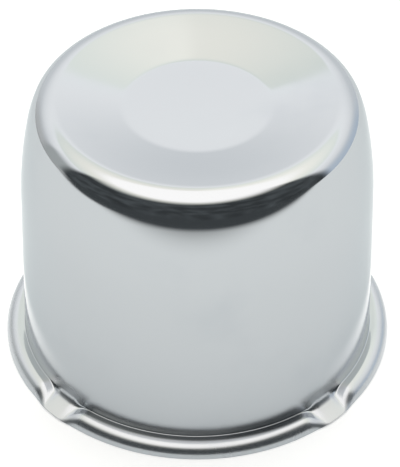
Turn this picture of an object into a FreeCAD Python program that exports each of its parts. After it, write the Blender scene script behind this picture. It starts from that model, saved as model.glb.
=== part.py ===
"""Push-through wheel centre cap: one deep-drawn steel shell, chrome plated.

The cap stands on its flange with the crown up. Its axis is Z and its lip lies on z = 0. The wall is a
slightly tapered cup, the crown has a rounded rim round a shallow dish with a flat disc in the middle, and at
the foot the sheet folds out to a narrow ledge and rolls over. The roll is pressed flat at four places.
"""
import FreeCAD, Part
import math
import os

# Sheet
sheet = 0.8  # thickness of the steel, the same all over

# Wall and crown, measured on the outside
body_radius = 54.3  # the wall, carried down to the plane that the lip stands on
wall_draft = 1.78  # degrees that the wall leans in
wall_top = 55.0  # height where the straight wall ends
shoulder_radius = 132.0  # the slow curve above the wall
shoulder_turn = 10.6  # degrees
knuckle_radius = 30.8  # the quicker curve below the rim
knuckle_turn = 9.9  # degrees
rim_radius = 6.9  # the rounded rim of the crown
dish_slope = 9.5  # degrees that the crown falls towards its middle
disc_radius = 21.9  # the flat disc in the middle
crease_radius = 12.0  # the soft crease round the disc

# Rolled flange
flange_width = 5.7  # from the wall's foot out to the lip
fold_radius = 0.22  # the tight fold between the wall and the ledge
ledge_dip = 8.0  # degrees that the ledge falls towards the wall
roll_radius = 3.9  # outside of the roll, which ends upright at the lip

# Crimps
crimp_count = 4
crimp_start = 45.0  # degrees from the X axis to the middle of the first one
crimp_half_angle = 14.0  # degrees from the middle to where the roll is whole again
crimp_flat_angle = 2.75  # degrees from the middle that are pressed fully
crimp_ease = 3.5  # how much later than an even ease the roll gives way
crimp_bend = 3.2  # radius of the bend from the wall to the pressed tab
crimp_slope = 25.0  # degrees that the pressed tab falls outwards
crimp_droop = 6.0  # degrees of roll that the pressed tab keeps at its lip
crimp_droop_radius = 3.0
crimp_spread = 0.85  # how far the pressed lip stands out past the roll

# Making
crimp_sections = 15  # sections that a crimp is lofted through
join_tolerance = 0.01  # edges closer than this are one edge where the flange joins the cup

AXIS = FreeCAD.Vector(0, 0, 1)
ORIGIN = FreeCAD.Vector(0, 0, 0)
draft = math.radians(wall_draft)


def travel(station, length, turn):
    """The station at the end of a run: straight, or an arc that turns left where turn is positive.

    A station is a radius, a height and a heading. Outlines run up the outside, so the sheet lies on their
    left. A negative length goes back down the outline, and takes a turn back where turn is negative too.
    """
    radius, height, heading = station
    if turn == 0:
        return radius + length * math.cos(heading), height + length * math.sin(heading), heading
    bend = length / turn
    new_heading = heading + turn
    new_radius = radius + bend * (math.sin(new_heading) - math.sin(heading))
    new_height = height - bend * (math.cos(new_heading) - math.cos(heading))
    return new_radius, new_height, new_heading


def arc(radius, degrees):
    """The run of an arc: its length and how far it turns."""
    turn = math.radians(degrees)
    return radius * abs(turn), turn


def at_depth(station, depth):
    """A point of the section, at a depth below the outer skin."""
    radius, height, heading = station
    return FreeCAD.Vector(radius - depth * math.sin(heading), 0, height + depth * math.cos(heading))


def wall_place(height):
    """The station on the outside of the wall at a height, heading up."""
    return body_radius - height * math.tan(draft), height, math.pi / 2 + draft


def wall_point(height, depth):
    """The point of the wall at a height and a depth."""
    return FreeCAD.Vector(wall_place(height)[0] - depth / math.cos(draft), 0, height)


def skin_edges(start, runs, depth, backwards=False):
    """The edges of a skin at a depth, along runs that go up, or back down, from a station."""
    sign = -1 if backwards else 1
    edges = []
    station = start
    for length, turn in runs:
        middle = at_depth(travel(station, sign * length / 2, sign * turn / 2), depth)
        begin = at_depth(station, depth)
        station = travel(station, sign * length, sign * turn)
        end = at_depth(station, depth)
        if turn == 0:
            edges.append(Part.makeLine(begin, end))
        else:
            edges.append(Part.Arc(begin, middle, end).toShape())
    return edges


def blend(whole, pressed, crush):
    """A run between that of the whole flange and that of a crimp."""
    return tuple(a + crush * (b - a) for a, b in zip(whole, pressed))


def descend(runs):
    """The station at the foot of runs that go down from a place on the wall, measured from that place."""
    station = (0, 0, math.pi / 2 + draft)
    for length, turn in runs:
        station = travel(station, -length, -turn)
    return station


def flange_outline(crush):
    """The top station and the runs of the flange, from the wall down, between whole (0) and pressed (1).

    The fold opens and the roll loses its turn as it is pressed. The length of the ledge then follows from how
    far out the lip lies, and the height of the whole outline from the lip standing on z = 0.
    """
    fold = blend(
        arc(fold_radius, wall_draft - 90 - ledge_dip), arc(crimp_bend, wall_draft - 90 + crimp_slope), crush)
    roll = blend(arc(roll_radius, 90 + ledge_dip), arc(crimp_droop_radius, crimp_droop), crush)
    lip_radius = body_radius + flange_width + crush * crimp_spread
    radius, height, heading = descend([fold, (0, 0), roll])
    unit_radius, unit_height, heading = descend([fold, (1, 0), roll])
    lip_low = -min(0, sheet * math.cos(heading)) - height
    grow = unit_radius - radius + (unit_height - height) * math.tan(draft)
    ledge = (lip_radius - body_radius - radius + lip_low * math.tan(draft)) / grow
    top = wall_place(lip_low - ledge * (unit_height - height))
    return top, [fold, (ledge, 0), roll]


def crush_at(degrees):
    """How far the roll is pressed at an angle from the middle of a crimp, eased at both ends."""
    share = (crimp_half_angle - abs(degrees)) / (crimp_half_angle - crimp_flat_angle)
    share = min(1, max(0, share))
    return (share * share * (3 - 2 * share)) ** crimp_ease


crimp_angles = [crimp_half_angle * (2 * index / (crimp_sections - 1) - 1) for index in range(crimp_sections)]
highest_fold = max(flange_outline(crush_at(degrees))[0][1] for degrees in crimp_angles)
seam_height = highest_fold + roll_radius / 2


def flange_section(crush):
    """The closed section of the flange: both skins, the cut lip and the level seam to the wall."""
    top, runs = flange_outline(crush)
    skins = []
    for depth in (0, sheet):
        edges = skin_edges(top, runs, depth, backwards=True)
        edges.insert(0, Part.makeLine(wall_point(seam_height, depth), at_depth(top, depth)))
        skins.append(edges)
    outer, inner = skins
    lip = Part.makeLine(outer[-1].Vertexes[-1].Point, inner[-1].Vertexes[-1].Point)
    seam = Part.makeLine(inner[0].Vertexes[0].Point, outer[0].Vertexes[0].Point)
    return Part.Wire([*outer, lip, *reversed(inner), seam])


def turned(shape, degrees):
    """A copy of a shape, turned round the axis."""
    copy = shape.copy()
    copy.rotate(ORIGIN, AXIS, degrees)
    return copy


def crimp_sector():
    """The flange round one crimp, lofted through sections that are pressed more and more, then less."""
    wires = [turned(flange_section(crush_at(degrees)), degrees) for degrees in crimp_angles]
    return Part.makeLoft(wires, True)


def whole_sector():
    """The flange from the end of one crimp to the next, turned about the axis."""
    section = turned(Part.Face(flange_section(0)), crimp_half_angle)
    return section.revolve(ORIGIN, AXIS, 360 / crimp_count - 2 * crimp_half_angle)


def cup_runs():
    """The outside from the seam to the axis: wall, shoulder, knuckle, rim, dish, crease and disc."""
    runs = [
        ((wall_top - seam_height) / math.cos(draft), 0),
        arc(shoulder_radius, shoulder_turn),
        arc(knuckle_radius, knuckle_turn),
        arc(rim_radius, 90 + dish_slope - wall_draft - shoulder_turn - knuckle_turn),
    ]
    rim_end = wall_place(seam_height)
    for length, turn in runs:
        rim_end = travel(rim_end, length, turn)
    slope = math.radians(dish_slope)
    crease_cut = crease_radius * math.tan(slope / 2)
    runs.append(((rim_end[0] - disc_radius) / math.cos(slope) - crease_cut, 0))
    runs.append(arc(crease_radius, -dish_slope))
    runs.append((disc_radius - crease_cut, 0))
    return runs


def cup():
    """The wall and crown above the seam, turned from their section."""
    skins = []
    for depth in (0, sheet):
        edges = skin_edges(wall_place(seam_height), cup_runs(), depth)
        edges[0] = Part.makeLine(wall_point(seam_height, depth), edges[0].Vertexes[-1].Point)
        skins.append(edges)
    outer, inner = skins
    seam = Part.makeLine(wall_point(seam_height, 0), wall_point(seam_height, sheet))
    axis = Part.makeLine(outer[-1].Vertexes[-1].Point, inner[-1].Vertexes[-1].Point)
    section = Part.Wire(Part.__sortEdges__([*outer, axis, *inner, seam]))
    return Part.Face(section).revolve(ORIGIN, AXIS, 360)


def cap_shell():
    """The whole shell: the cup, and round its foot crimped and whole stretches of flange in turn."""
    crimp = crimp_sector()
    whole = whole_sector()
    flange = []
    for index in range(crimp_count):
        middle = crimp_start + 360 / crimp_count * index
        flange.append(turned(crimp, middle))
        flange.append(turned(whole, middle))
    return cup().multiFuse(flange, join_tolerance).removeSplitter().Solids[0]


os.makedirs("parts", exist_ok=True)
shell = cap_shell()
shell.exportStep("parts/cap_shell.step")
print("cap_shell", "valid", shell.isValid(), "volume", round(shell.Volume), "mm3", "faces", len(shell.Faces))
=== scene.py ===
# %% [markdown]
# A chromed wheel centre cap
#
# The object is one piece of thin steel: a deep cup that was drawn in a press, rolled over at its open end
# and then chrome plated. The CAD model is loaded first as a fixed frame. Its solid has the right form,
# but a mirror shows every flat facet, so this lesson draws the same section again with far more steps and
# lets the new shell stand for the CAD solid.

# %% Load the frame
import bmesh
import bpy
import math
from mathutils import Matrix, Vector


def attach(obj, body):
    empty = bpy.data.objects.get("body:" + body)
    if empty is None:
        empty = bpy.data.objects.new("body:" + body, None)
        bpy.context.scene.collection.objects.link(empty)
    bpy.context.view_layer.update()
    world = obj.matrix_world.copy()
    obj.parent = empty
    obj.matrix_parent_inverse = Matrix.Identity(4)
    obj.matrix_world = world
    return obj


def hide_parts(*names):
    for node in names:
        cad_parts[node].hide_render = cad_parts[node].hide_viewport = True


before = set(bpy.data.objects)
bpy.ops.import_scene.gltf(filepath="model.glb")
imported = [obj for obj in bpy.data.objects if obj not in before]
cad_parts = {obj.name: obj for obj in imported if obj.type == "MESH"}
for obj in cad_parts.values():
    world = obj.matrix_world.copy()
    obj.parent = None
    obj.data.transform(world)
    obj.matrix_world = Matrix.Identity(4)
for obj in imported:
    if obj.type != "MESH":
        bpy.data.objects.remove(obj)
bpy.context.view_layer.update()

# %% [markdown]
# A pressed part is described by its outside: a wall with a little draft, a rim that is rounded in three
# steps, a dish with a flat disc in its middle, and the roll at the foot. The sheet has the same thickness
# everywhere, so the inside needs no sizes of its own. The sizes could be measured on the CAD mesh, but
# named values are easier to read and to change. They are those of the CAD source, in millimetres and
# degrees, except for the ledge. It dips by 4 degrees and not by 8, which is under 0.1 mm, because the
# bright line in the fold then lies closer to the real one.

# %% Sizes of the cap
mm = 0.001
sheet = 0.8

body_radius = 54.3  # the wall, carried down to the plane of the lip
wall_draft = 1.78
wall_top = 55.0
shoulder_radius, shoulder_turn = 132.0, 10.6
knuckle_radius, knuckle_turn = 30.8, 9.9
rim_radius = 6.9
dish_slope = 9.5
disc_radius = 21.9
crease_radius = 12.0

flange_width = 5.7  # from the wall's foot out to the lip
fold_radius = 0.22
ledge_dip = 4.0
roll_radius = 3.9

draft = math.radians(wall_draft)
print("flange", 2 * (body_radius + flange_width), "mm across, body", 2 * body_radius, "mm across")

# %% [markdown]
# The section is the walk of a pen. Each run has a length and a turn, and a run without a turn is
# straight. A list of points would do as well, but runs keep the bends tangent to each other, as a sheet
# that was bent over tools is. Walking in numbers first tells where the flange meets the wall.

# %% Walking along a section
def travel(station, length, turn):
    """The radius, height and heading after a run. Negative length and turn walk back."""
    radius, height, heading = station
    if turn == 0:
        return radius + length * math.cos(heading), height + length * math.sin(heading), heading
    bend = length / turn
    new_heading = heading + turn
    new_radius = radius + bend * (math.sin(new_heading) - math.sin(heading))
    new_height = height - bend * (math.cos(new_heading) - math.cos(heading))
    return new_radius, new_height, new_heading


def arc(radius, degrees):
    """The run of an arc: its length and its turn."""
    return radius * abs(math.radians(degrees)), math.radians(degrees)


def wall_place(height):
    """The radius, height and heading on the outside of the wall."""
    return body_radius - height * math.tan(draft), height, math.pi / 2 + draft


print("the straight wall ends", round(wall_place(wall_top)[0], 2), "mm from the axis")

# %% [markdown]
# From the wall down, the sheet folds outwards sharply, makes a narrow ledge and rolls over until it
# stands upright on its cut lip. Four times round the cap the flange is pressed flat. There the fold opens
# into a wide bend, the ledge becomes a plain slope and the roll keeps only a trace of its turn, while the
# lip stands out a little.

# %% Sizes of a crimp
crimp_count = 4
crimp_start = 45.0  # from the X axis to the middle of the first crimp
crimp_half_angle = 14.0  # from the middle to where the roll is whole again
crimp_flat_angle = 2.75  # from the middle, pressed fully
crimp_ease = 3.5  # how much later than an even ease the roll gives way
crimp_bend = 3.2
crimp_slope = 25.0
crimp_droop_radius, crimp_droop = 3.0, 6.0
crimp_spread = 0.85  # how far the pressed lip stands out past the roll
print(crimp_count, "crimps, each", 2 * crimp_half_angle, "degrees wide")

# %% [markdown]
# A number from 0, whole, to 1, pressed, blends the runs of the two outlines. A shape key could blend the
# vertices instead, but it would move them on straight lines and squash the bends, while blended runs stay
# arcs. The lip always stands on the ground, so the length of the ledge follows from where the lip has to
# be.

# %% Runs of the flange
def blend(whole, pressed, crush):
    """A run between that of the whole flange and that of a crimp."""
    return tuple(a + crush * (b - a) for a, b in zip(whole, pressed))


def descend(runs, station):
    """The place at the foot of runs that go down from the wall."""
    for length, turn in runs:
        station = travel(station, -length, -turn)
    return station


def flange_outline(crush):
    """Where the fold starts on the wall, and the runs from there down: fold, ledge and roll."""
    whole_fold = arc(fold_radius, wall_draft - 90 - ledge_dip)
    pressed_fold = arc(crimp_bend, wall_draft - 90 + crimp_slope)
    fold = blend(whole_fold, pressed_fold, crush)
    roll = blend(arc(roll_radius, 90 + ledge_dip), arc(crimp_droop_radius, crimp_droop), crush)
    lip_radius = body_radius + flange_width + crush * crimp_spread
    on_wall = (0, 0, math.pi / 2 + draft)
    radius, height, heading = descend([fold, (0, 0), roll], on_wall)
    unit_radius, unit_height, heading = descend([fold, (1, 0), roll], on_wall)
    lip_low = -min(0, sheet * math.cos(heading)) - height
    grow = unit_radius - radius + (unit_height - height) * math.tan(draft)
    ledge = (lip_radius - body_radius - radius + lip_low * math.tan(draft)) / grow
    top = wall_place(lip_low - ledge * (unit_height - height))
    return top, [fold, (ledge, 0), roll]


whole_top, whole_runs = flange_outline(0)
lip_foot = descend(whole_runs, whole_top)
print("whole, the fold is", round(whole_top[1], 2), "mm up and the lip", round(lip_foot[0], 2), "mm out")
pressed_top = flange_outline(1)[0]
print("pressed, the bend starts", round(pressed_top[1], 2), "mm up the wall")

# %% [markdown]
# The crown is drawn in one line from the top of the wall: shoulder, knuckle, rim, dish, crease and disc.
# It could be a revolved spline, but the band of dark that the chrome shows below the rim has the width
# that these bends give it, so they are separate arcs. The dish and the disc take the lengths that are
# left. Each run says how many steps it is drawn in: a tight bend needs many, a straight run few.

# %% Runs of the whole section
rim_turn = 90 + dish_slope - wall_draft - shoulder_turn - knuckle_turn
crown_bends = [
    arc(shoulder_radius, shoulder_turn),
    arc(knuckle_radius, knuckle_turn),
    arc(rim_radius, rim_turn),
]
rim_end = wall_place(wall_top)
for bend_length, bend_turn in crown_bends:
    rim_end = travel(rim_end, bend_length, bend_turn)
slope = math.radians(dish_slope)
crease_cut = crease_radius * math.tan(slope / 2)

fold_run, ledge_run, roll_run = whole_runs
shoulder_run, knuckle_run, rim_run = crown_bends
wall_run = ((wall_top - whole_top[1]) / math.cos(draft), 0)
dish_run = ((rim_end[0] - disc_radius) / math.cos(slope) - crease_cut, 0)
crease_run = arc(crease_radius, -dish_slope)
disc_run = (disc_radius - crease_cut, 0)
runs_and_steps = [
    (roll_run, 22),
    (ledge_run, 3),
    (fold_run, 14),
    (wall_run, 10),
    (shoulder_run, 10),
    (knuckle_run, 6),
    (rim_run, 18),
    (dish_run, 3),
    (crease_run, 4),
    (disc_run, 4),
]
section_length = sum(length for (length, turn), steps in runs_and_steps)
print("section", round(section_length, 1), "mm long, from the lip to the axis")

# %% [markdown]
# Now the pen draws. A straight run is a vertex that is extruded and moved on. A round run is a vertex
# that is spun about the middle of its arc. Both leave edges behind them. A bezier curve could give the
# same line, but arcs made by spin are exact and take as many steps as each bend needs.

# %% A pen that draws runs
def draw_run(mesh, pen, heading, run, steps):
    """Moves the pen along a run in the XZ plane and returns it with its new heading."""
    length, turn = run
    if turn == 0:
        step = Vector((math.cos(heading), 0, math.sin(heading))) * length * mm / steps
        for _ in range(steps):
            pen = bmesh.ops.extrude_vert_indiv(mesh, verts=[pen])["verts"][0]
            bmesh.ops.translate(mesh, verts=[pen], vec=step)
        return pen, heading
    left = Vector((-math.sin(heading), 0, math.cos(heading)))
    middle = pen.co + left * length * mm / turn
    spun = bmesh.ops.spin(mesh, geom=[pen], cent=middle, axis=(0, -1, 0), angle=turn, steps=steps)
    return spun["geom_last"][0], heading + turn


print("the pen starts at the lip, heading", round(math.degrees(lip_foot[2]), 1), "degrees from level")

# %% [markdown]
# Two numbers stay on every vertex: how far along the section it lies, counted in runs, and how far its
# place is pressed. The crimps are formed with the first one, and the finish reads both later. Vertex
# groups could hold them too, but a float layer of the mesh is plain to write and is an attribute that a
# material can read.

# %% Draw the section
shell_mesh = bmesh.new()
along_layer = shell_mesh.verts.layers.float.new("along")
crush_layer = shell_mesh.verts.layers.float.new("crush")
pen = shell_mesh.verts.new((lip_foot[0] * mm, 0, lip_foot[1] * mm))
heading = lip_foot[2]
for number, (run, steps) in enumerate(runs_and_steps):
    drawn = set(shell_mesh.verts)
    pen, heading = draw_run(shell_mesh, pen, heading, run, steps)
    fresh = [vertex for vertex in shell_mesh.verts if vertex not in drawn]
    for index, vertex in enumerate(fresh):
        vertex[along_layer] = number + (index + 1) / steps
print("section of", len(shell_mesh.verts), "points, ends at", [round(c / mm, 2) for c in pen.co])

# %% [markdown]
# A full spin about Z turns the section into the skin of the cap, as a lathe would. A Screw modifier could
# do the same, but the crimps need real vertices to move. use_merge closes the seam, and the points that
# meet on the axis are merged into one. The normals are set outwards now, before the sheet gets its
# thickness.

# %% Spin the skin
columns = 480
merge_distance = 0.002
bmesh.ops.spin(
    shell_mesh,
    geom=shell_mesh.verts[:] + shell_mesh.edges[:],
    cent=(0, 0, 0),
    axis=(0, 0, 1),
    angle=2 * math.pi,
    steps=columns,
    use_merge=True,
)
bmesh.ops.remove_doubles(shell_mesh, verts=shell_mesh.verts[:], dist=merge_distance * mm)
bmesh.ops.recalc_face_normals(shell_mesh, faces=shell_mesh.faces[:])
print("skin of", len(shell_mesh.faces), "faces")

# %% [markdown]
# On the real cap a tool squeezed the finished roll flat at each crimp. Cutting these places out and
# bridging them with new faces would leave seams that chrome shows. Here every vertex knows its place
# along the section, so a vertex of the flange moves to the same place of the pressed outline at its own
# angle, and the mesh stays whole.

# %% How far the flange is pressed
def crush_at(angle):
    """From 0, whole, to 1, pressed, by the angle from the X axis in degrees."""
    pitch = 360 / crimp_count
    away = abs((angle - crimp_start + pitch / 2) % pitch - pitch / 2)
    share = (crimp_half_angle - away) / (crimp_half_angle - crimp_flat_angle)
    share = min(1, max(0, share))
    return (share * share * (3 - 2 * share)) ** crimp_ease


def crushed_place(crush, along):
    """Radius and height of a flange vertex, by how far up the section it lies."""
    station, runs = flange_outline(crush)
    runs_down = len(runs) - along
    for length, turn in runs:
        share = min(1, max(0, runs_down))
        station = travel(station, -length * share, -turn * share)
        runs_down -= 1
    return station[:2]


print("half way out, a crimp is pressed by", round(crush_at(crimp_start + crimp_half_angle / 2), 2))

# %% Press the crimps
just_past_fold = len(whole_runs) + 0.001
pressed_count = 0
for vertex in shell_mesh.verts:
    crush = crush_at(math.degrees(math.atan2(vertex.co.y, vertex.co.x)))
    if crush == 0 or vertex[along_layer] > just_past_fold:
        continue
    radius, height = crushed_place(crush, vertex[along_layer])
    outwards = Vector((vertex.co.x, vertex.co.y, 0)).normalized()
    vertex.co = outwards * radius * mm + Vector((0, 0, height * mm))
    vertex[crush_layer] = crush
    pressed_count += 1
print("pressed", pressed_count, "vertices into", crimp_count, "crimps")

# %% [markdown]
# The skin becomes an object. Solidify gives it the sheet's thickness on the inside and puts the inner
# wall and the cut edge on materials of their own. The inner wall could be drawn and spun as well, but an
# even offset of the outer one is what a sheet is. A small bevel breaks the two edges of the cut lip, as
# tumbling and plating do.

# %% Shell with thickness
for face in shell_mesh.faces:
    face.smooth = True
skin = bpy.data.meshes.new("cap_shell_skin")
shell_mesh.to_mesh(skin)
shell_mesh.free()
shell = bpy.data.objects.new("chromed_shell", skin)
bpy.context.scene.collection.objects.link(shell)

thickness = shell.modifiers.new("sheet", "SOLIDIFY")
thickness.thickness = sheet * mm
thickness.offset = -1
thickness.use_even_offset = True
thickness.material_offset = 1
thickness.material_offset_rim = 2

lip_break = 0.15
broken_edge = shell.modifiers.new("broken edge", "BEVEL")
broken_edge.width = lip_break * mm
broken_edge.segments = 2
broken_edge.limit_method = "ANGLE"
broken_edge.angle_limit = math.radians(50)
print("sheet of", sheet, "mm, lip broken by", lip_break, "mm")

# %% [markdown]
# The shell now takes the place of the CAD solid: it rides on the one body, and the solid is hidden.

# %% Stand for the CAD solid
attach(shell, "root")
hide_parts("cap_shell")
print(shell.name, "replaces cap_shell")

# %% [markdown]
# Bright chrome is a metal that shows only what it mirrors. A glossy shader could give that, but the
# Principled one also knows how a metal looks at a flat angle: every metal turns white there, chrome dims
# a little before it does, and Specular Tint gives that dip.

# %% Bright chrome
def new_material(name):
    """A material with its node tree and its Principled shader."""
    material = bpy.data.materials.new(name)
    material.use_nodes = True
    return material, material.node_tree, material.node_tree.nodes["Principled BSDF"]


flat_angle_tint = (0.80, 0.82, 0.83, 1)

chrome, chrome_tree, chrome_shader = new_material("bright_chrome")
chrome_shader.inputs["Metallic"].default_value = 1
chrome_shader.inputs["Specular Tint"].default_value = flat_angle_tint
shell.data.materials.append(chrome)
print(chrome.name, "tinted", flat_angle_tint[:3], "at a flat angle")

# %% [markdown]
# Chrome has a faint blue cast. One colour would do for a new mirror, but plating that was handled has a
# thin haze in places, so a noise mixes in a slightly darker tone. An image of smudges could do it too,
# but a noise needs no file and has no seams.

# %% Haze on the chrome
def noise(tree, scale, detail, stretch=(1, 1, 1)):
    """A noise texture on Object coordinates. Returns its value socket."""
    coordinates = tree.nodes.new("ShaderNodeTexCoord")
    mapping = tree.nodes.new("ShaderNodeMapping")
    mapping.inputs["Scale"].default_value = stretch
    texture = tree.nodes.new("ShaderNodeTexNoise")
    texture.inputs["Scale"].default_value = scale
    texture.inputs["Detail"].default_value = detail
    tree.links.new(coordinates.outputs["Object"], mapping.inputs["Vector"])
    tree.links.new(mapping.outputs["Vector"], texture.inputs["Vector"])
    return texture.outputs["Fac"]


def spread(tree, value, low, high, to_low, to_high):
    """Maps a value smoothly from one range to another."""
    node = tree.nodes.new("ShaderNodeMapRange")
    node.interpolation_type = "SMOOTHSTEP"
    tree.links.new(value, node.inputs["Value"])
    node.inputs["From Min"].default_value = low
    node.inputs["From Max"].default_value = high
    node.inputs["To Min"].default_value = to_low
    node.inputs["To Max"].default_value = to_high
    return node.outputs["Result"]


def mix_colours(tree, factor, first, second):
    """Mixes two colours, which are sockets or values, and returns the colour socket."""
    node = tree.nodes.new("ShaderNodeMix")
    node.data_type = "RGBA"
    tree.links.new(factor, node.inputs["Factor"])
    first_colour, second_colour = 6, 7
    for number, colour in ((first_colour, first), (second_colour, second)):
        if isinstance(colour, tuple):
            node.inputs[number].default_value = colour
        else:
            tree.links.new(colour, node.inputs[number])
    mixed_colour = 2
    return node.outputs[mixed_colour]


clean_chrome = (0.566, 0.577, 0.597, 1)
hazy_chrome = (0.53, 0.545, 0.57, 1)

haze = spread(chrome_tree, noise(chrome_tree, scale=30, detail=5), 0.52, 0.80, 0, 1)
chrome_colour = mix_colours(chrome_tree, haze, clean_chrome, hazy_chrome)
chrome_tree.links.new(chrome_colour, chrome_shader.inputs["Base Color"])
print("colour from", clean_chrome[:3], "to", hazy_chrome[:3])

# %% [markdown]
# The polish of a mirror is its roughness. Clouds of handling marks vary it a little everywhere. Where the
# sheet was worked hardest the polish wheel does not reach and the chrome stays satin: on the roll, in the
# corner between the wall and the ledge, and in the crimps. A painted mask could say where, but the
# numbers that each vertex carries say it exactly, and they follow when a size changes.

# %% Chrome polish
def calculate(tree, operation, first, second=None):
    """A Math node. Its inputs are sockets or numbers."""
    node = tree.nodes.new("ShaderNodeMath")
    node.operation = operation
    for socket, value in zip(node.inputs, (first, second)):
        if isinstance(value, (int, float)):
            socket.default_value = value
        elif value is not None:
            tree.links.new(value, socket)
    return node.outputs["Value"]


def multiply(tree, first, second):
    """The product of two sockets, or of a socket and a number."""
    return calculate(tree, "MULTIPLY", first, second)


def attribute(tree, name):
    """The number that every vertex carries under a name."""
    node = tree.nodes.new("ShaderNodeAttribute")
    node.attribute_name = name
    return node.outputs["Fac"]


best_polish, worst_polish = 0.04, 0.08
roll_satin, ledge_satin = 0.21, 0.03
corner_satin = 0.14
crimp_satin = 0.22
satin_fades, roll_ends = 0.7, 1.0  # places along the section, counted in runs
corner_starts, corner_full = 2.95, 3.02
corner_fades, corner_ends = 3.04, 3.30

along = attribute(chrome_tree, "along")
marks = noise(chrome_tree, scale=38, detail=4)
handling = spread(chrome_tree, marks, 0.35, 0.75, best_polish, worst_polish)
on_roll = spread(chrome_tree, along, satin_fades, roll_ends, roll_satin, ledge_satin)
above_fold = spread(chrome_tree, along, corner_starts, corner_full, 0, corner_satin)
near_fold = spread(chrome_tree, along, corner_fades, corner_ends, 1, 0)
in_corner = multiply(chrome_tree, above_fold, near_fold)
in_crimp = multiply(chrome_tree, attribute(chrome_tree, "crush"), crimp_satin)
chrome_roughness = handling
for satin in (on_roll, in_corner, in_crimp):
    chrome_roughness = calculate(chrome_tree, "ADD", chrome_roughness, satin)
chrome_tree.links.new(chrome_roughness, chrome_shader.inputs["Roughness"])
print("roughness from", best_polish, "on the wall to", round(worst_polish + roll_satin, 2), "on the roll")

# %% [markdown]
# A drawn sheet is never perfectly even, and its mirror image wavers a little. The waves are some
# hundredths of a millimetre high, too low to model, so a bump gives them.

# %% Chrome unevenness
def add_bump(tree, shader, height, strength, distance):
    """Shallow relief on a shader's normal."""
    bump = tree.nodes.new("ShaderNodeBump")
    bump.inputs["Strength"].default_value = strength
    bump.inputs["Distance"].default_value = distance
    tree.links.new(height, bump.inputs["Height"])
    tree.links.new(bump.outputs["Normal"], shader.inputs["Normal"])


press_waves = 0.04
waves = noise(chrome_tree, scale=70, detail=2)
add_bump(chrome_tree, chrome_shader, waves, strength=0.25, distance=press_waves * mm)
print("waves up to", press_waves, "mm, in", len(chrome_tree.nodes), "nodes of", chrome.name)

# %% [markdown]
# Inside, the plating is thin and the sheet keeps the drawing marks of the press, which run up and down.
# Three separate noises could vary its colour, roughness and relief, but then they would not agree. One
# noise that is stretched along Z gives the same marks to all three.

# %% Plating inside
pale_plating = (0.43, 0.43, 0.42, 1)
dull_plating = (0.34, 0.335, 0.32, 1)
mark_stretch = (1, 1, 0.05)
mark_depth = 0.1

inside, inside_tree, inside_shader = new_material("thin_plating_inside")
inside_shader.inputs["Metallic"].default_value = 1
draw_marks = noise(inside_tree, scale=60, detail=3, stretch=mark_stretch)
inside_shade = spread(inside_tree, draw_marks, 0.35, 0.7, 0, 1)
inside_colour = mix_colours(inside_tree, inside_shade, pale_plating, dull_plating)
inside_roughness = spread(inside_tree, draw_marks, 0.3, 0.7, 0.28, 0.45)
inside_tree.links.new(inside_colour, inside_shader.inputs["Base Color"])
inside_tree.links.new(inside_roughness, inside_shader.inputs["Roughness"])
add_bump(inside_tree, inside_shader, draw_marks, strength=0.2, distance=mark_depth * mm)
shell.data.materials.append(inside)
print(inside.name, "with marks up to", mark_depth, "mm deep")

# %% [markdown]
# The lip was sheared and then plated, so its narrow face has a fine grain. A separate ring could carry
# this finish, but Solidify already puts the faces of the cut on the third material.

# %% Cut lip
bright_cut = (0.52, 0.53, 0.54, 1)
grey_cut = (0.42, 0.42, 0.41, 1)

lip_metal, lip_tree, lip_shader = new_material("cut_lip")
lip_shader.inputs["Metallic"].default_value = 1
lip_grain = noise(lip_tree, scale=400, detail=3)
lip_colour = mix_colours(lip_tree, lip_grain, bright_cut, grey_cut)
lip_roughness = spread(lip_tree, lip_grain, 0.3, 0.7, 0.2, 0.4)
lip_tree.links.new(lip_colour, lip_shader.inputs["Base Color"])
lip_tree.links.new(lip_roughness, lip_shader.inputs["Roughness"])
shell.data.materials.append(lip_metal)
print("materials", [material.name for material in shell.data.materials])

# %% [markdown]
# The cap stands on a white table, and its wall mirrors that table up to the shoulder. A disc is all that
# is needed. It is much wider than the picture, and its material says where the table ends.

# %% Table top
table_radius = 3.0  # metres, as are the other places of the studio
floor_mesh = bmesh.new()
bmesh.ops.create_circle(floor_mesh, cap_ends=True, segments=64, radius=table_radius)
floor_skin = bpy.data.meshes.new("table_top")
floor_mesh.to_mesh(floor_skin)
floor_mesh.free()
floor = bpy.data.objects.new("white_table", floor_skin)
bpy.context.scene.collection.objects.link(floor)
print("floor", 2 * table_radius, "m across")

# %% [markdown]
# The real table ends somewhere in front of the cap and to its left, where the chrome sees the room. A
# smaller mesh would show its edge in the picture, so the material fades the table out by its coordinates,
# and only for the rays that do not come from the camera.

# %% Where the table ends
table_near, table_far = -0.20, -0.46
left_end, left_end_softness = 0.52, 0.06
left_end_turn = math.radians(27)
table_white = (0.86, 0.86, 0.86, 1)
black = (0, 0, 0, 1)

table, table_tree, table_shader = new_material("white_table_top")
table_shader.inputs["Roughness"].default_value = 0.9
table_shader.inputs["Specular IOR Level"].default_value = 0
table_coordinates = table_tree.nodes.new("ShaderNodeTexCoord").outputs["Object"]
table_axes = table_tree.nodes.new("ShaderNodeSeparateXYZ")
table_tree.links.new(table_coordinates, table_axes.inputs["Vector"])
table_x, table_y = table_axes.outputs["X"], table_axes.outputs["Y"]
to_left = calculate(
    table_tree, "ADD",
    multiply(table_tree, table_x, -math.cos(left_end_turn)),
    multiply(table_tree, table_y, -math.sin(left_end_turn)))
before_front_end = spread(table_tree, table_y, table_far, table_near, 0, 1)
left_near, left_far = left_end - left_end_softness, left_end + left_end_softness
before_left_end = spread(table_tree, to_left, left_near, left_far, 1, 0)
on_table = multiply(table_tree, before_front_end, before_left_end)

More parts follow.
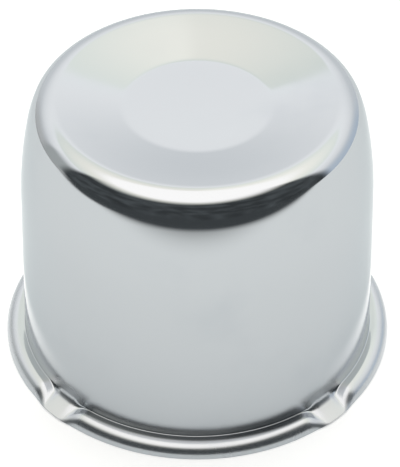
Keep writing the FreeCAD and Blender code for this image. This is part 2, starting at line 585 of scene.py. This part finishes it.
light_path = table_tree.nodes.new("ShaderNodeLightPath")
in_picture = light_path.outputs["Is Camera Ray"]
in_chrome = light_path.outputs["Is Glossy Ray"]
seen_table = calculate(table_tree, "MAXIMUM", on_table, in_picture)
table_colour = mix_colours(table_tree, seen_table, black, table_white)
table_tree.links.new(table_colour, table_shader.inputs["Base Color"])
floor.data.materials.append(table)
print("table ends", -table_near, "to", -table_far, "m in front and", left_end, "m to the left")

# %% [markdown]
# In the picture the table is white, and the chrome shows it a little greyer. More light would bleach the
# cap, so the table glows by itself: one strength for the picture, where the cap's shadow stays, and one
# for what the chrome mirrors. Close round the foot, at the sides and behind, a painted pool of light makes
# that glow brightest, in place of the light that the chrome throws back onto the table, and the roll
# mirrors it. Past its ends the chrome sees the dark room in front and a paler one to the left.

# %% Glow of the table
glow_in_picture = (0.45, 0.45, 0.45, 1)
glow_in_chrome = (0.27, 0.305, 0.315, 1)
# a painted pool of light on the table round the foot, in place of light thrown back by the chrome
painted_light_at_foot = (0.80, 0.79, 0.77, 1)
foot_inner, foot_outer = 0.062, 0.068
foot_front, foot_middle = -0.045, 0.0
room_dark = (0.070, 0.079, 0.083, 1)
room_left = (0.56, 0.58, 0.57, 1)
room_left_front, room_left_back = -0.15, 0.02

from_axis = table_tree.nodes.new("ShaderNodeVectorMath")
from_axis.operation = "LENGTH"
table_tree.links.new(table_coordinates, from_axis.inputs[0])
close_to_foot = spread(table_tree, from_axis.outputs["Value"], foot_inner, foot_outer, 1, 0)
not_in_front = spread(table_tree, table_y, foot_front, foot_middle, 0, 1)
at_foot = multiply(table_tree, close_to_foot, not_in_front)
mirrored_glow = mix_colours(table_tree, at_foot, glow_in_chrome, painted_light_at_foot)
chrome_or_none = mix_colours(table_tree, in_chrome, black, mirrored_glow)
glow = mix_colours(table_tree, in_picture, chrome_or_none, glow_in_picture)
to_back_left = spread(table_tree, table_y, room_left_front, room_left_back, 0, 1)
off_table = mix_colours(table_tree, to_back_left, room_dark, room_left)
table_glow = mix_colours(table_tree, seen_table, off_table, glow)
table_tree.links.new(table_glow, table_shader.inputs["Emission Color"])
table_shader.inputs["Emission Strength"].default_value = 1
print(table.name, "of", len(table_tree.nodes), "nodes")

# %% [markdown]
# Chrome has no look of its own: it shows the studio. This one is a white tent that is open to a dark room
# at the front, where the camera stands. The opening makes the dark band round the shoulder and the dark
# lines of the roll. The tent could be built from cloth meshes and lamps. A world that is worked out from
# the direction of a ray is simpler, renders without grain, and stays put when the camera moves. The
# direction is split up first.

# %% Directions of the studio
world = bpy.data.worlds.new("studio_tent")
bpy.context.scene.world = world
world.use_nodes = True
world_tree = world.node_tree
world_nodes = world_tree.nodes
world_nodes.clear()

front_turn = math.radians(-0.75)

direction = world_nodes.new("ShaderNodeTexCoord").outputs["Generated"]
direction_axes = world_nodes.new("ShaderNodeSeparateXYZ")
world_tree.links.new(direction, direction_axes.inputs["Vector"])
to_right, to_back, up = (direction_axes.outputs[axis] for axis in "XYZ")
right_squared = multiply(world_tree, to_right, to_right)
back_squared = multiply(world_tree, to_back, to_back)
level = calculate(world_tree, "SQRT", calculate(world_tree, "ADD", right_squared, back_squared))
to_front = calculate(
    world_tree, "SUBTRACT",
    multiply(world_tree, to_right, math.sin(front_turn)),
    multiply(world_tree, to_back, math.cos(front_turn)))
frontness = calculate(world_tree, "DIVIDE", to_front, level)


def below(height, low, high):
    """1 for directions under two elevations in degrees, fading to 0 between them."""
    return spread(world_tree, height, math.sin(math.radians(low)), math.sin(math.radians(high)), 1, 0)


def within(far, near):
    """1 for directions closer to the front than two angles in degrees, fading to 0 between them."""
    return spread(world_tree, frontness, math.cos(math.radians(far)), math.cos(math.radians(near)), 0, 1)


print("front of the tent turned by", round(math.degrees(front_turn), 2), "degrees")

# %% [markdown]
# The opening takes half of the horizon and reaches up well above the camera. It could be a hole in a
# mesh, with hard edges, but hanging cloth lets some light through at its edges, so they are soft here.
# The top edge hangs a little lower on the left.

# %% Opening of the tent
opening_half_angle, opening_side_softness = 90.5, 5.0
opening_top, opening_top_softness = 57.0, 11.0
opening_tilt = 0.09

side_far, side_near = opening_half_angle + opening_side_softness, opening_half_angle - opening_side_softness
tilted_up = calculate(world_tree, "SUBTRACT", up, multiply(world_tree, to_right, opening_tilt))
below_top = below(tilted_up, opening_top - opening_top_softness, opening_top + opening_top_softness)
opening = multiply(world_tree, within(side_far, side_near), below_top)
print("opening", 2 * opening_half_angle, "degrees wide and", opening_top, "degrees high")

# %% [markdown]
# The tent gets brighter upwards. At the back its wall ends in an edge, above which a cream cloth hangs:
# the dish of the crown shows that edge as a line across it. A colour ramp over the height of the
# direction holds these tones. The left half of the back cloth is a little darker, with a seam up its
# middle.

# %% Cloth of the tent
tent_tones = (
    (0.0, (0.56, 0.58, 0.59)),
    (18.0, (0.57, 0.59, 0.60)),
    (37.5, (0.76, 0.77, 0.77)),
    (40.7, (0.77, 0.79, 0.79)),
    (41.5, (0.71, 0.75, 0.70)),
    (55.0, (0.86, 0.85, 0.77)),
    (64.0, (1.0, 0.98, 0.95)),
)
cloth_bottom_low, cloth_bottom_high = 40.7, 41.5
cloth_top_low, cloth_top_high = 58.0, 63.0
left_cloth_shade, seam_softness = 0.075, 0.012

tent = world_nodes.new("ShaderNodeValToRGB")
while len(tent.color_ramp.elements) < len(tent_tones):
    tent.color_ramp.elements.new(0.5)
for stop, (elevation, tone) in zip(tent.color_ramp.elements, tent_tones):
    stop.position = math.sin(math.radians(elevation))
    stop.color = (*tone, 1)
world_tree.links.new(up, tent.inputs["Fac"])

under_cloth = below(up, cloth_bottom_low, cloth_bottom_high)
above_bottom = calculate(world_tree, "SUBTRACT", 1, under_cloth)
back_cloth = multiply(world_tree, above_bottom, below(up, cloth_top_low, cloth_top_high))
left_half = spread(world_tree, to_right, -seam_softness, seam_softness, left_cloth_shade, 0)
cloth_shade = multiply(world_tree, back_cloth, left_half)
tent_colour = mix_colours(world_tree, cloth_shade, tent.outputs["Color"], black)
print("tent of", len(tent_tones), "tones")

# %% [markdown]
# Low at both sides the tent is darker, a neutral grey on the left and cool on the right. The sides of the
# rim show it. A third, darker place stands on the left beside the opening and shades the left end of the
# dark band.

# %% Sides of the tent
side_left = (0.42, 0.43, 0.425, 1)
side_right = (0.41, 0.47, 0.535, 1)
side_by_opening = (0.33, 0.35, 0.345, 1)
sides_far, sides_near = 155.0, 130.0
sides_low, sides_high = 6.0, 30.0
by_opening_far, by_opening_near = 117.0, 109.0
by_opening_low, by_opening_high = 20.0, 42.0
middle_softness = 0.1

on_right = spread(world_tree, to_right, -middle_softness, middle_softness, 0, 1)
on_left = calculate(world_tree, "SUBTRACT", 1, on_right)
at_sides = multiply(world_tree, within(sides_far, sides_near), below(up, sides_low, sides_high))
side_colour = mix_colours(world_tree, on_right, side_left, side_right)
tent_colour = mix_colours(world_tree, at_sides, tent_colour, side_colour)
by_opening = multiply(
    world_tree, within(by_opening_far, by_opening_near), below(up, by_opening_low, by_opening_high))
left_of_opening = multiply(world_tree, by_opening, on_left)
tent_colour = mix_colours(world_tree, left_of_opening, tent_colour, side_by_opening)
print("sides", side_left[:3], "and", side_right[:3])

# %% [markdown]
# The room beyond the opening is dark but not empty, so a noise makes it uneven and the dark band gets
# some life. Things could be modelled there, but nobody can tell what a dark mirror image is of.

# %% Dark room
tent_light = 1.66
darkest_share, lightest_share = 0.75, 1.5


def room_shade(share):
    """A share of the room's colour, before the strength of the tent multiplies it."""
    return (*(part * share / tent_light for part in room_dark[:3]), 1)


room_noise = world_nodes.new("ShaderNodeTexNoise")
room_noise.inputs["Scale"].default_value = 5
room_noise.inputs["Detail"].default_value = 4
world_tree.links.new(direction, room_noise.inputs["Vector"])
room_things = spread(world_tree, room_noise.outputs["Fac"], 0.35, 0.7, 0, 1)
room_colour = mix_colours(world_tree, room_things, room_shade(darkest_share), room_shade(lightest_share))
surroundings = mix_colours(world_tree, opening, tent_colour, room_colour)
print("room from", darkest_share, "to", lightest_share, "times", room_dark[:3])

# %% [markdown]
# What the camera sees past the table is plain white paper, at a strength of 1. A white wall behind the
# table could do this, but the chrome would show it. So the light path decides: a ray from the camera sees
# the paper, and every other ray sees the tent.

# %% Studio world
studio = world_nodes.new("ShaderNodeBackground")
studio.inputs["Strength"].default_value = tent_light
world_tree.links.new(surroundings, studio.inputs["Color"])
paper = world_nodes.new("ShaderNodeBackground")
paper.inputs["Color"].default_value = (1, 1, 1, 1)
paper.inputs["Strength"].default_value = 1

world_path = world_nodes.new("ShaderNodeLightPath")
tent_or_paper = world_nodes.new("ShaderNodeMixShader")
world_tree.links.new(world_path.outputs["Is Camera Ray"], tent_or_paper.inputs["Fac"])
world_tree.links.new(studio.outputs["Background"], tent_or_paper.inputs[1])
world_tree.links.new(paper.outputs["Background"], tent_or_paper.inputs[2])
world_output = world_nodes.new("ShaderNodeOutputWorld")
world_tree.links.new(tent_or_paper.outputs["Shader"], world_output.inputs["Surface"])
print("tent at", tent_light, "in", len(world_nodes), "nodes")

# %% [markdown]
# The camera was solved from the ellipses of the flange and the disc in the photograph. It stands 0.64 m
# from the middle of the lip, looks down by 41 degrees and is turned a little more than one degree, so
# that the crimps fall where the photograph has them. Turning the cap would do the same, but the cap stays
# on its own axes.

# %% Camera
image_height = 467
camera_turn = math.radians(1.25)
camera_pitch = math.radians(40.966)
camera_back, camera_up = 0.466546, 0.441038
focal_pixels = 2026.04
axis_left_pixels = 2.7
sensor_width = 36

camera_data = bpy.data.cameras.new("photo_camera")
camera_data.sensor_width = sensor_width
camera_data.lens = focal_pixels * sensor_width / image_height
camera_data.shift_x = axis_left_pixels / image_height
camera = bpy.data.objects.new("photo_camera", camera_data)
camera.location = (camera_back * math.sin(camera_turn), -camera_back * math.cos(camera_turn), camera_up)
camera.rotation_euler = (math.pi / 2 - camera_pitch, 0, camera_turn)
bpy.context.scene.collection.objects.link(camera)
bpy.context.scene.camera = camera
bpy.context.scene.view_settings.view_transform = "Standard"
camera_distance = math.hypot(camera_back, camera_up)
print("camera", round(camera_distance, 2), "m away, lens", round(camera_data.lens, 1), "mm")
